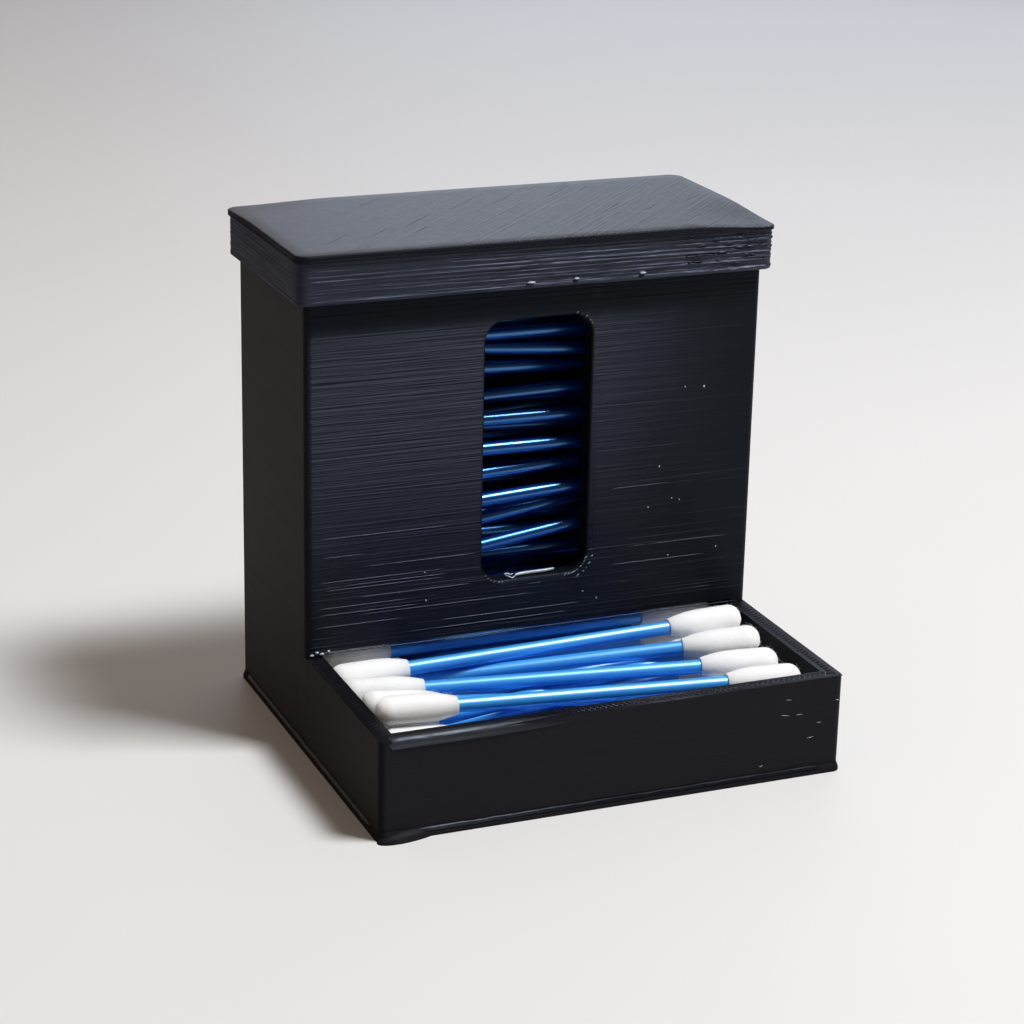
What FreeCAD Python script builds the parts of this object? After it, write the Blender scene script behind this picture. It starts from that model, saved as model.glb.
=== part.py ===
import FreeCAD, Part
import math
import os
import random

import Sketcher
from FreeCAD import Placement, Rotation, Vector

# Cotton swab dispenser: a printed housing with a hopper above an open tray, a
# lift-off cap, and the cotton swabs that fill both.  Millimetres, +Z up, +X to
# the right, the tray at the front (-Y).  The origin lies under the middle of
# the whole object, on the surface that it stands on.

os.makedirs("parts", exist_ok=True)
doc = FreeCAD.newDocument("cotton_swab_dispenser")

# ---------------------------------------------------------------- dimensions

DIMENSIONS = [
    # housing
    ("body_width", 84.0),
    ("tray_depth", 37.4),
    ("hopper_depth", 37.2),
    ("tray_height", 17.6),
    ("hopper_height", 87.1),
    ("wall", 3.0),
    ("floor_thickness", 3.0),
    ("throat_top", 18.4),
    ("corner_radius", 1.2),
    # first printed layers, squeezed wider than the walls
    ("foot_flare", 0.4),
    ("foot_lip", 0.5),
    ("foot_height", 1.6),
    # swollen front left corner of the first layers
    ("bulge_width", 6.2),
    ("bulge_depth", 2.1),
    ("bulge_height", 1.7),
    ("bulge_side_proud", 0.6),
    ("bulge_front_proud", 1.6),
    ("bulge_turn", 12.0),
    # window in the front wall of the hopper
    ("window_width", 19.6),
    ("window_bottom", 27.5),
    ("window_top", 74.5),
    ("window_radius", 3.7),
    ("window_edge", 0.6),
    # cap
    ("cap_clearance", 0.3),
    ("cap_wall", 1.2),
    ("cap_bottom", 80.2),
    ("cap_plate", 1.55),
    ("cap_flare", 0.4),
    ("cap_corner", 2.0),
    ("cap_edge", 0.3),
    # swabs
    ("swab_length", 76.0),
    ("stem_diameter", 2.5),
    ("stem_fit", 0.02),
    ("head_cover", 2.0),
    ("head_diameter", 5.0),
    ("head_length", 13.8),
    ("head_nose", 2.3),
    ("head_taper", 6.5),
    ("head_mouth", 3.1),
    # how loosely the swabs lie
    ("swab_gap", 0.15),
    ("side_gap", 0.12),
    ("side_play", 0.35),
    ("widest_turn", 14.0),
    ("steepest_rise", 12.0),
    ("floor_fill", 10.2),
    ("hopper_low_fill", 41.0),
    ("hopper_middle_fill", 58.0),
    ("hopper_fill", 79.0),
]

sheet = doc.addObject("Spreadsheet::Sheet", "dims")
for row, (alias, number) in enumerate(DIMENSIONS, start=1):
    sheet.set(f"A{row}", alias)
    sheet.set(f"B{row}", str(number))
    sheet.setAlias(f"B{row}", alias)
doc.recompute()


def value(expression):
    """Number that an expression on the sheet's cells comes to."""
    return float(sheet.evalExpression(str(expression)))


# Places that several pieces share, written as expressions on the sheet.
SIDE = "dims.body_width / 2"
CAP_REACH = "(dims.cap_clearance + dims.cap_wall)"
FRONT = (
    "(-(dims.tray_depth + dims.hopper_depth"
    f" + {CAP_REACH} + dims.cap_flare - dims.bulge_front_proud) / 2)"
)
HOPPER_FRONT = f"({FRONT} + dims.tray_depth)"
BACK = f"({HOPPER_FRONT} + dims.hopper_depth)"

# ------------------------------------------------------------ sketch helpers


def origin_plane(body, role):
    """One of the body's own origin planes."""
    for feature in body.Origin.OriginFeatures:
        if feature.Role == role:
            return feature
    raise ValueError(role)


def new_sketch(body, name, role, offset=None):
    """Empty sketch on an origin plane, moved along its normal by offset."""
    sketch = body.newObject("Sketcher::SketchObject", name)
    sketch.AttachmentSupport = (origin_plane(body, role), [""])
    sketch.MapMode = "FlatFace"
    if offset is not None:
        sketch.setExpression("AttachmentOffset.Base.z", offset)
    return sketch


def bind_distance(sketch, kind, geometry, end, expression):
    """Distance of a point from the sketch's origin, bound to the sheet."""
    constraint = Sketcher.Constraint(kind, -1, 1, geometry, end, value(expression))
    index = sketch.addConstraint(constraint)
    sketch.setExpression(f"Constraints[{index}]", expression)


def bind_radius(sketch, geometry, expression):
    """Radius of an arc, bound to the sheet."""
    index = sketch.addConstraint(Sketcher.Constraint("Radius", geometry, value(expression)))
    sketch.setExpression(f"Constraints[{index}]", expression)


def draw_polygon(sketch, corners):
    """Closed outline through corners given as pairs of expressions."""
    count = len(corners)
    points = [Vector(value(x), value(y), 0) for x, y in corners]
    for i in range(count):
        sketch.addGeometry(Part.LineSegment(points[i], points[(i + 1) % count]))
    for i in range(count):
        sketch.addConstraint(Sketcher.Constraint("Coincident", i, 2, (i + 1) % count, 1))
    for i, (x, y) in enumerate(corners):
        bind_distance(sketch, "DistanceX", i, 1, x)
        bind_distance(sketch, "DistanceY", i, 1, y)


def draw_rounded_rectangle(sketch, left, right, low, high, radius):
    """Rectangle with four equal round corners; every size is an expression."""
    x0, x1, y0, y1 = value(left), value(right), value(low), value(high)
    r = value(radius)
    first = sketch.GeometryCount
    centres = [(x1 - r, y1 - r), (x0 + r, y1 - r), (x0 + r, y0 + r), (x1 - r, y0 + r)]
    arcs = []
    for i, (x, y) in enumerate(centres):
        circle = Part.Circle(Vector(x, y, 0), Vector(0, 0, 1), r)
        arcs.append(Part.ArcOfCircle(circle, i * math.pi / 2, (i + 1) * math.pi / 2))
    sides = [Part.LineSegment(arcs[i].EndPoint, arcs[(i + 1) % 4].StartPoint) for i in range(4)]
    sketch.addGeometry(arcs + sides)
    for i in range(4):
        arc, side, next_arc = first + i, first + 4 + i, first + (i + 1) % 4
        sketch.addConstraint(Sketcher.Constraint("Tangent", arc, 2, side, 1))
        sketch.addConstraint(Sketcher.Constraint("Tangent", side, 2, next_arc, 1))
    for i in range(1, 4):
        sketch.addConstraint(Sketcher.Constraint("Equal", first, first + i))
    for i, kind in enumerate(("Horizontal", "Vertical", "Horizontal", "Vertical")):
        sketch.addConstraint(Sketcher.Constraint(kind, first + 4 + i))
    bind_radius(sketch, first, radius)
    bind_distance(sketch, "DistanceY", first + 4, 1, high)
    bind_distance(sketch, "DistanceX", first + 5, 1, left)
    bind_distance(sketch, "DistanceY", first + 6, 1, low)
    bind_distance(sketch, "DistanceX", first + 7, 1, right)


def pad(body, name, sketch, length):
    """Pad a sketch along its normal by a length given as an expression."""
    feature = body.newObject("PartDesign::Pad", name)
    feature.Profile = sketch
    feature.setExpression("Length", length)
    doc.recompute()
    return feature


def pocket_both_ways(body, name, sketch, length):
    """Cut a sketch half of the length to each side of its plane."""
    before = body.Shape.Volume
    feature = body.newObject("PartDesign::Pocket", name)
    feature.Profile = sketch
    feature.Midplane = True
    feature.setExpression("Length", length)
    doc.recompute()
    if feature.Shape.Volume > before - 1.0:
        raise RuntimeError(f"{name} cuts nothing")
    return feature


def round_edges(body, name, radius, chosen):
    """Fillet the edges of the body for which chosen(bound_box) is true."""
    base = body.Tip
    edges = [
        f"Edge{i}"
        for i, edge in enumerate(base.Shape.Edges, start=1)
        if chosen(edge.BoundBox)
    ]
    if not edges:
        raise RuntimeError(f"{name} finds no edge")
    feature = body.newObject("PartDesign::Fillet", name)
    feature.Base = (base, edges)
    feature.setExpression("Radius", radius)
    doc.recompute()
    return feature


# ------------------------------------------------------------------- housing


def make_housing():
    """Tray, hopper and floor, printed in one piece."""
    body = doc.addObject("PartDesign::Body", "housing")
    body.Label = "housing"

    # first layers: a thin lip that slopes back to the walls
    lip = new_sketch(body, "foot_lip_outline", "XY_Plane")
    flare = "dims.foot_flare"
    flared_outline = (
        f"-{SIDE} - {flare}", f"{SIDE} + {flare}",
        f"{FRONT} - {flare}", f"{BACK} + {flare}",
        f"dims.corner_radius + {flare}",
    )
    draw_rounded_rectangle(lip, *flared_outline)
    pad(body, "foot_lip", lip, "dims.foot_lip")

    slope = new_sketch(body, "foot_slope_outline", "XY_Plane", "dims.foot_lip")
    draw_rounded_rectangle(slope, *flared_outline)
    rise = "(dims.foot_height - dims.foot_lip)"
    foot_slope = pad(body, "foot_slope", slope, rise)
    foot_slope.setExpression("TaperAngle", f"-atan({flare} / {rise})")

    # outer blocks of tray and hopper
    tray = new_sketch(body, "tray_outline", "XY_Plane")
    draw_rounded_rectangle(tray, f"-{SIDE}", SIDE, FRONT, BACK, "dims.corner_radius")
    pad(body, "tray_block", tray, "dims.tray_height")

    hopper = new_sketch(body, "hopper_outline", "XY_Plane")
    draw_rounded_rectangle(hopper, f"-{SIDE}", SIDE, HOPPER_FRONT, BACK, "dims.corner_radius")
    pad(body, "hopper_block", hopper, "dims.hopper_height")

    # one L-shaped space inside: tray, throat under the front wall, hopper
    space = new_sketch(body, "inner_space_profile", "YZ_Plane")
    above = "dims.hopper_height + dims.wall"
    draw_polygon(space, [
        (f"{FRONT} + dims.wall", "dims.floor_thickness"),
        (f"{BACK} - dims.wall", "dims.floor_thickness"),
        (f"{BACK} - dims.wall", above),
        (f"{HOPPER_FRONT} + dims.wall", above),
        (f"{HOPPER_FRONT} + dims.wall", "dims.throat_top"),
        (f"{FRONT} + dims.wall", "dims.throat_top"),
    ])
    pocket_both_ways(body, "inner_space", space, "dims.body_width - 2 * dims.wall")

    # window, cut through the middle of the front wall only
    middle_of_wall = f"-({HOPPER_FRONT} + dims.wall / 2)"
    window = new_sketch(body, "window_outline", "XZ_Plane", middle_of_wall)
    draw_rounded_rectangle(
        window,
        "-dims.window_width / 2", "dims.window_width / 2",
        "dims.window_bottom", "dims.window_top",
        "dims.window_radius",
    )
    pocket_both_ways(body, "window", window, "2 * dims.wall")

    front_face = value(HOPPER_FRONT)
    half_window = value("dims.window_width / 2")
    window_sill = value("dims.window_bottom")
    round_edges(body, "window_edge", "dims.window_edge", lambda box: (
        abs(box.YMin - front_face) < 0.01
        and abs(box.YMax - front_face) < 0.01
        and abs(box.XMin) < half_window + 0.01
        and box.ZMin > window_sill - 0.01
        and box.ZMax < value("dims.window_top") + 0.01
    ))

    # swollen corner of the first layers, thinning out along the front
    bulge = body.newObject("PartDesign::AdditiveEllipsoid", "foot_bulge")
    bulge.setExpression("Radius1", "dims.bulge_height")
    bulge.setExpression("Radius2", "dims.bulge_width")
    bulge.setExpression("Radius3", "dims.bulge_depth")
    bulge.Angle1 = 0
    bulge.AttachmentOffset = Placement(
        Vector(0, 0, 0), Rotation(Vector(0, 0, 1), value("dims.bulge_turn")))
    bulge.setExpression(
        "AttachmentOffset.Base.x", f"-{SIDE} - dims.bulge_side_proud + dims.bulge_width")
    reach = (
        "sqrt((dims.bulge_width * sin(dims.bulge_turn)) ^ 2"
        " + (dims.bulge_depth * cos(dims.bulge_turn)) ^ 2)"
    )
    bulge.setExpression(
        "AttachmentOffset.Base.y", f"{FRONT} - dims.bulge_front_proud + {reach}")
    bulge.AttachmentSupport = (origin_plane(body, "XY_Plane"), [""])
    bulge.MapMode = "FlatFace"
    doc.recompute()
    return body


# ----------------------------------------------------------------------- cap


def make_lid():
    """Cap that rests on the hopper's rim, with a skirt round the hopper."""
    body = doc.addObject("PartDesign::Body", "lid")
    body.Label = "lid"

    def outline(sketch, reach, radius):
        draw_rounded_rectangle(
            sketch,
            f"-{SIDE} - {reach}", f"{SIDE} + {reach}",
            f"{HOPPER_FRONT} - {reach}", f"{BACK} + {reach}",
            radius,
        )

    skirt = new_sketch(body, "skirt_outline", "XY_Plane", "dims.cap_bottom")
    outline(skirt, CAP_REACH, "dims.cap_corner")
    outline(skirt, "dims.cap_clearance", "dims.corner_radius")
    pad(body, "skirt", skirt, "dims.hopper_height - dims.cap_bottom")

    plate = new_sketch(body, "plate_outline", "XY_Plane", "dims.hopper_height")
    outline(plate, f"({CAP_REACH} + dims.cap_flare)", "dims.cap_corner + dims.cap_flare")
    pad(body, "plate", plate, "dims.cap_plate")

    top = value("dims.hopper_height + dims.cap_plate")
    round_edges(body, "plate_edge", "dims.cap_edge", lambda box: box.ZMin > top - 0.01)
    return body


# --------------------------------------------------------------------- swabs


def make_cotton_head():
    """Wound cotton end of a swab, lying along +X with its nose at the origin."""
    body = doc.addObject("PartDesign::Body", "cotton_head")
    body.Label = "cotton_head"
    sketch = new_sketch(body, "cotton_profile", "XZ_Plane")

    length = "dims.head_length"
    radius = "dims.head_diameter / 2"
    bore = "dims.stem_diameter / 2 + dims.stem_fit"
    corners = [
        ("0", "0"),
        ("dims.head_nose", radius),
        (f"{length} - dims.head_taper", radius),
        (length, "dims.head_mouth / 2"),
        (length, bore),
        ("dims.head_cover", bore),
        ("dims.head_cover", "0"),
    ]
    points = [Vector(value(x), value(y), 0) for x, y in corners]
    nose, shoulder, neck, mouth = points[:4]
    bow = value(radius) / 8
    on_nose = (nose + shoulder) / 2 + Vector(-bow, bow, 0)
    on_taper = (neck + mouth) / 2 + Vector(0, bow, 0)
    sketch.addGeometry([
        Part.Arc(nose, on_nose, shoulder),
        Part.LineSegment(shoulder, neck),
        Part.Arc(neck, on_taper, mouth),
    ])
    for i in range(3, len(points)):
        sketch.addGeometry(Part.LineSegment(points[i], points[(i + 1) % len(points)]))

    # both arcs run clockwise, so each one's start is its second sketch point
    start_of = [2, 1, 2, 1, 1, 1, 1]
    end_of = [1, 2, 1, 2, 2, 2, 2]
    for i in range(len(points)):
        after = (i + 1) % len(points)
        kind = "Tangent" if i in (0, 1) else "Coincident"
        sketch.addConstraint(Sketcher.Constraint(kind, i, end_of[i], after, start_of[after]))
    for i, (x, y) in enumerate(corners):
        bind_distance(sketch, "DistanceX", i, start_of[i], x)
        bind_distance(sketch, "DistanceY", i, start_of[i], y)

    revolution = body.newObject("PartDesign::Revolution", "cotton")
    revolution.Profile = sketch
    revolution.ReferenceAxis = (sketch, ["H_Axis"])
    revolution.Angle = 360
    doc.recompute()
    return body


def value_of(alias):
    """Number in one named cell of the sheet."""
    return value(f"dims.{alias}")


SWAB_LENGTH = value_of("swab_length")
STEM_RADIUS = value_of("stem_diameter") / 2
HEAD_RADIUS = value_of("head_diameter") / 2
HEAD_LENGTH = value_of("head_length")
HEAD_NOSE = value_of("head_nose")
HEAD_TAPER = value_of("head_taper")
MOUTH_RADIUS = value_of("head_mouth") / 2
SWAB_GAP = value_of("swab_gap")
WALL = value_of("wall")
FLOOR = value_of("floor_thickness")
THROAT_TOP = value_of("throat_top")
INNER_FRONT = value(FRONT) + WALL
WALL_FRONT = value(HOPPER_FRONT)
WALL_BACK = WALL_FRONT + WALL
INNER_BACK = value(BACK) - WALL

# from the middle of a swab to the middle of either of its heads
ARM = SWAB_LENGTH / 2 - HEAD_LENGTH / 2


def cotton_radius(from_nose):
    """Radius of a cotton head at a distance from its nose."""
    if from_nose < HEAD_NOSE:
        return HEAD_RADIUS * math.sqrt(1 - (1 - from_nose / HEAD_NOSE) ** 2)
    taper = max(from_nose - (HEAD_LENGTH - HEAD_TAPER), 0.0) / HEAD_TAPER
    return HEAD_RADIUS - (HEAD_RADIUS - MOUTH_RADIUS) * taper * taper


def swab_stations():
    """Places along a swab, from its middle, with its radius at each."""
    barrel_end = HEAD_LENGTH - HEAD_TAPER
    depths = [
        HEAD_NOSE / 2, HEAD_NOSE, (HEAD_NOSE + barrel_end) / 2,
        barrel_end, HEAD_LENGTH - HEAD_TAPER / 2, HEAD_LENGTH,
    ]
    step = 4.0
    left = [(depth - SWAB_LENGTH / 2, cotton_radius(depth)) for depth in depths]
    stem = [(step * i, STEM_RADIUS) for i in range(-5, 6)]
    right = [(-x, radius) for x, radius in reversed(left)]
    return left + stem + right


STATIONS = swab_stations()


def settle(left, right, pile):
    """A swab at rest across the pile, with its heads at Y left and right.

    Each station asks for a height that clears the floor and the swabs that lie
    there.  The swab comes to rest on two stations, one on each side of its
    middle: the pair that holds the middle highest.
    """
    needs = []
    track_y = []
    for i, (x, radius) in enumerate(STATIONS):
        y = left + (right - left) * (x + ARM) / (2 * ARM)
        track_y.append(y)
        lowest = FLOOR + radius + SWAB_GAP
        reach = 2 * radius + SWAB_GAP
        for other in pile:
            other_y, other_z = other["track"][i]
            across = abs(y - other_y)
            if across < reach:
                lowest = max(lowest, other_z + math.sqrt(reach * reach - across * across))
        needs.append((x, lowest))
    height, slope = max(
        ((za * xb - zb * xa) / (xb - xa), (zb - za) / (xb - xa))
        for xa, za in needs if xa <= 0
        for xb, zb in needs if xb > 0
    )
    track = [(y, height + slope * x) for (x, radius), y in zip(STATIONS, track_y)]
    return {"left": left, "right": right, "height": height, "slope": slope, "track": track}


def clears_walls(swab):
    """Whether the swab is clear of the outer walls and the hopper's front wall."""
    for (x, radius), (y, z) in zip(STATIONS, swab["track"]):
        room = radius + SWAB_GAP
        if y - room < INNER_FRONT or y + room > INNER_BACK:
            return False
        beside_wall = max(WALL_FRONT - y, 0.0, y - WALL_BACK)
        below_wall = max(THROAT_TOP - z, 0.0)
        if math.hypot(beside_wall, below_wall) < room:
            return False
    return True


def drop(pile, draw, front, spread, top):
    """Try some places behind front and keep the lowest one under top.

    A swab that turns or rises too far from one end to the other is passed over.
    """
    edge = HEAD_RADIUS + SWAB_GAP + 0.01
    first, last = front + edge, INNER_BACK - edge
    widest, steepest = value_of("widest_turn"), value_of("steepest_rise")
    tries = 20
    best = None
    for _ in range(tries):
        left = draw.uniform(first, last)
        right = min(max(draw.gauss(left, spread), first), last)
        swab = settle(left, right, pile)
        rise = 2 * ARM * abs(swab["slope"])
        if abs(right - left) > widest or rise > steepest:
            continue
        if swab["height"] + rise / 2 > top or not clears_walls(swab):
            continue
        if best is None or swab["height"] < best["height"]:
            best = swab
    if best is not None:
        pile.append(best)
    return best is not None


def fill_floor(seed):
    """Swabs strewn over the whole floor, in the tray and under the hopper."""
    draw = random.Random(seed)
    pile = []
    while drop(pile, draw, INNER_FRONT, 4.0, value_of("floor_fill")):
        pass
    return pile


def fill_hopper(pile, seed, level):
    """Further swabs on the pile, up to a named level behind the front wall."""
    draw = random.Random(seed)
    while drop(pile, draw, WALL_BACK, 6.0, value_of(level)):
        pass


def place_stem(name, middle, along):
    """Stem of one swab, centred on a point."""
    stem = doc.addObject("Part::Cylinder", name)
    stem.setExpression("Radius", "dims.stem_diameter / 2")
    stem.setExpression("Height", "dims.swab_length - 2 * dims.head_cover")
    doc.recompute()
    start = middle - along * (stem.Height.Value / 2)
    stem.Placement = Placement(start, Rotation(Vector(0, 0, 1), along))
    return stem


def place_head(name, nose, inward):
    """Copy of the cotton head with its nose at a point."""
    head = doc.addObject("App::Link", name)
    head.LinkedObject = cotton_head
    head.Placement = Placement(nose, Rotation(Vector(1, 0, 0), inward))
    return head


def place_swab(name, swab, draw):
    """One swab's stem and its two heads, in the place where it settled."""
    room = value("dims.body_width / 2 - dims.wall - dims.swab_length / 2")
    play = value_of("side_gap") + value_of("side_play") * draw.random()
    middle_y = (swab["left"] + swab["right"]) / 2
    middle = Vector(play - room, middle_y, swab["height"])
    along = Vector(2 * ARM, swab["right"] - swab["left"], 2 * ARM * swab["slope"])
    along.normalize()
    half = SWAB_LENGTH / 2
    stem = place_stem(f"{name}_stem", middle, along)
    heads = [
        place_head(f"{name}_left_head", middle - along * half, along),
        place_head(f"{name}_right_head", middle + along * half, -along),
    ]
    return stem, heads


def join(name, members):
    """One node made of separate solids."""
    node = doc.addObject("Part::Compound", name)
    node.Links = members
    return node


def place_swabs(name, swabs, draw):
    """Two nodes for a few swabs: all of their stems and all of their tips."""
    stems = []
    tips = []
    for number, swab in enumerate(swabs, start=1):
        stem, heads = place_swab(f"{name}_{number}", swab, draw)
        stems.append(stem)
        tips.extend(heads)
    return [join(f"{name}_stems", stems), join(f"{name}_tips", tips)]


def in_groups(swabs, size):
    """The swabs in order, a few at a time."""
    return [swabs[i:i + size] for i in range(0, len(swabs), size)]


# ------------------------------------------------------------------ assembly

housing = make_housing()
lid = make_lid()
cotton_head = make_cotton_head()

# The swabs that lie on top in the tray, in the order that they fell.  Each has
# the distances of its left and right heads behind the front face of the tray.
TOP_SWABS = [
    (9.1, 6.1),
    (19.3, 25.8),
    (18.1, 13.1),
    (34.0, 35.3),
    (37.7, 21.0),
    (34.0, 30.3),
    (28.1, 14.7),
    (10.9, 7.3),
]

# The hopper is filled in three goes, each with its own seed and level.
HOPPER_FILLS = [
    (151, "hopper_low_fill"),
    (139, "hopper_middle_fill"),
    (69, "hopper_fill"),
]

pile = fill_floor(1189)
floor_swabs = list(pile)
for left, right in TOP_SWABS:
    pile.append(settle(value(FRONT) + left, value(FRONT) + right, pile))
top_swabs = pile[len(floor_swabs):]
for seed, level in HOPPER_FILLS:
    fill_hopper(pile, seed, level)
hopper_swabs = pile[len(floor_swabs) + len(top_swabs):]

draw = random.Random(7)
nodes = [housing, lid]
for number, swab in enumerate(top_swabs, start=1):
    nodes += place_swabs(f"top_swab_{number}", [swab], draw)
for number, group in enumerate(in_groups(floor_swabs, 3), start=1):
    nodes += place_swabs(f"floor_swabs_{number}", group, draw)
for number, group in enumerate(in_groups(hopper_swabs, 4), start=1):
    nodes += place_swabs(f"hopper_swabs_{number}", group, draw)
doc.recompute()

for thing in doc.Objects:
    if "Invalid" in thing.State or "Error" in thing.State:
        raise RuntimeError(f"{thing.Name}: {thing.State}")
for swab in pile:
    if not clears_walls(swab):
        raise RuntimeError("a swab cuts into a wall")
for node in nodes:
    if node.Shape.isNull() or not node.Shape.isValid() or not node.Shape.Solids:
        raise RuntimeError(f"{node.Name} has no valid solid")
    node.Shape.exportStep(f"parts/{node.Name}.step")

print(f"{len(nodes)} nodes, {len(pile)} swabs")
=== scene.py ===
import math
import random

import bmesh
import bpy
from mathutils import Matrix, Vector, noise


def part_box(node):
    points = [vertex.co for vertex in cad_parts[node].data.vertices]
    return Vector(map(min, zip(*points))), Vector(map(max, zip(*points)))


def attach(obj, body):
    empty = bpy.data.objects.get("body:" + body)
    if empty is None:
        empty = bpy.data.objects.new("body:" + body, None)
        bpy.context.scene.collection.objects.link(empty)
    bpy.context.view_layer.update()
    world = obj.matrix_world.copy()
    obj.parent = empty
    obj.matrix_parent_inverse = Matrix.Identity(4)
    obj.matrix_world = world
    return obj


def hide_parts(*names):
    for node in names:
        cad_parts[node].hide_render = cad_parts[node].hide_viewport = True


# Cotton swab dispenser: looks for the printed housing and cap, and for the
# swabs that fill it.  Metres, +Z up, the tray towards -Y.

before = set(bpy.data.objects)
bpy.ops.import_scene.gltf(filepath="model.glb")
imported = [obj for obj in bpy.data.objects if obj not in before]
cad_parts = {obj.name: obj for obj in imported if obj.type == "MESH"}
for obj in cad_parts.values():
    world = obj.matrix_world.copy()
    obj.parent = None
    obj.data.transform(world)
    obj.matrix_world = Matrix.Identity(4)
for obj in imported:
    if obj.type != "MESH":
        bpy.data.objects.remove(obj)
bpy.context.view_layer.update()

MM = 0.001
UP = Vector((0, 0, 1))

# ------------------------------------------------------------------- places

HOUSING_LOW, HOUSING_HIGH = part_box("housing")
CAP_LOW, CAP_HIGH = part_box("lid")

WALL = 3.0 * MM
FOOT_FLARE = 0.4 * MM
TRAY_RIM = 17.6 * MM

SIDE = HOUSING_HIGH.x - FOOT_FLARE
BACK = HOUSING_HIGH.y - FOOT_FLARE
HOPPER_RIM = HOUSING_HIGH.z

# the cap: how far its skirt stands off the hopper, and its plate off the skirt
SKIRT_REACH = 1.5 * MM
SKIRT_THICKNESS = 1.2 * MM
PLATE_FLARE = 0.4 * MM
SKIRT_CORNER = 2.0 * MM
HOPPER_FRONT = CAP_LOW.y + SKIRT_REACH + PLATE_FLARE
TRAY_FRONT = HOPPER_FRONT - 37.4 * MM

# groups of swabs at the bottom of the hopper that light from the tray reaches; they keep the tray's
# stem colour, while the swabs above them get the painted shade
THROAT_GROUPS = 3

# loose fibres on each swab that lies on top
FIBRES_PER_SWAB = 700

# the window in the hopper's front wall
WINDOW_HALF = 9.8 * MM
WINDOW_SILL = 27.5 * MM
WINDOW_TOP = 74.5 * MM
WINDOW_CORNER = 3.7 * MM

# ---------------------------------------------------------------- materials

PLA_IOR = 1.46
# sRGB tints of the sheen on black PLA
COOL_SHEEN = "ccd8ff"
NEUTRAL_SHEEN = "ece6f4"


def linear(hex_colour):
    """Linear RGBA of an sRGB colour written as six hex digits."""
    channels = [int(hex_colour[i:i + 2], 16) / 255 for i in (0, 2, 4)]
    straight = [c / 12.92 if c <= 0.04045 else ((c + 0.055) / 1.055) ** 2.4 for c in channels]
    return straight + [1.0]


def add_node(tree, kind, settings=None, links=None):
    """New node; settings are its properties or inputs, links its linked inputs."""
    node = tree.nodes.new(kind)
    for name, setting in (settings or {}).items():
        if isinstance(name, str) and hasattr(node, name):
            setattr(node, name, setting)
        else:
            node.inputs[name].default_value = setting
    for name, output in (links or {}).items():
        tree.links.new(output, node.inputs[name])
    return node


def new_material(name):
    """Empty node material with its tree."""
    material = bpy.data.materials.new(name)
    material.use_nodes = True
    material.node_tree.nodes.clear()
    return material, material.node_tree


def finish_material(tree, shader):
    """Send a shader to the material's output."""
    add_node(tree, "ShaderNodeOutputMaterial", links={"Surface": shader.outputs[0]})


def map_range(tree, value, starts, ends, smooth=False):
    """Output that runs from one pair of values to another."""
    node = add_node(tree, "ShaderNodeMapRange", {
        "interpolation_type": "SMOOTHSTEP" if smooth else "LINEAR",
        "From Min": starts[0], "From Max": starts[1], "To Min": ends[0], "To Max": ends[1],
    }, {"Value": value})
    return node.outputs[0]


def feed(tree, socket, item):
    """Give a socket a number, or link an output to it."""
    if isinstance(item, (int, float)):
        socket.default_value = item
    else:
        tree.links.new(item, socket)


def combine(tree, operation, *values):
    """Several outputs or numbers put together, two at a time."""
    result = values[0]
    for value in values[1:]:
        node = add_node(tree, "ShaderNodeMath", {"operation": operation})
        for socket, item in zip(node.inputs, (result, value)):
            feed(tree, socket, item)
        result = node.outputs[0]
    return result


def mix_numbers(tree, share, first, second):
    """Output that goes from a first number or output to a second one."""
    node = add_node(tree, "ShaderNodeMix", {"data_type": "FLOAT"}, {0: share})
    for socket, item in zip(node.inputs[2:4], (first, second)):
        feed(tree, socket, item)
    return node.outputs[0]


def mix_colours(tree, share, first, second):
    """Output that goes from a first sRGB hex colour to a second one."""
    node = add_node(tree, "ShaderNodeMix", {
        "data_type": "RGBA", 6: linear(first), 7: linear(second),
    }, {0: share})
    return node.outputs[2]


def bump(tree, height, distance, strength=1.0):
    """Normal of a surface that a height roughens."""
    node = add_node(tree, "ShaderNodeBump", {"Strength": strength, "Distance": distance},
                    {"Height": height})
    return node.outputs[0]


def place_in_mm(tree):
    """Object coordinates in millimetres: the vector, and its three parts."""
    place = add_node(tree, "ShaderNodeTexCoord")
    in_mm = add_node(tree, "ShaderNodeMapping", {"Scale": (1000, 1000, 1000)},
                     {"Vector": place.outputs["Object"]}).outputs[0]
    spot = add_node(tree, "ShaderNodeSeparateXYZ", links={0: in_mm})
    return in_mm, *spot.outputs


def facing_share(tree, which_normal, axis, starts):
    """How much a surface faces along an axis, either way, from 0 to 1."""
    facing = add_node(tree, "ShaderNodeNewGeometry")
    normal = add_node(tree, "ShaderNodeSeparateXYZ", links={0: facing.outputs[which_normal]})
    along = combine(tree, "ABSOLUTE", normal.outputs[axis], 0)
    return map_range(tree, along, starts, (0.0, 1.0))


def even_noise(tree, scale, detail, rough=0.5):
    """Noise that is the same in all directions."""
    place = add_node(tree, "ShaderNodeTexCoord")
    texture = add_node(tree, "ShaderNodeTexNoise", {
        "Scale": scale, "Detail": detail, "Roughness": rough,
    }, {"Vector": place.outputs["Object"]})
    return texture.outputs["Fac"]


def stretched_noise(tree, vector, scale, detail, rough=0.5, distortion=0.0):
    """Noise drawn out along some directions."""
    mapping = add_node(tree, "ShaderNodeMapping", {"Scale": scale}, {"Vector": vector})
    texture = add_node(tree, "ShaderNodeTexNoise", {
        "Scale": 1.0, "Detail": detail, "Roughness": rough, "Distortion": distortion,
    }, {"Vector": mapping.outputs[0]})
    return texture.outputs["Fac"]


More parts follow.
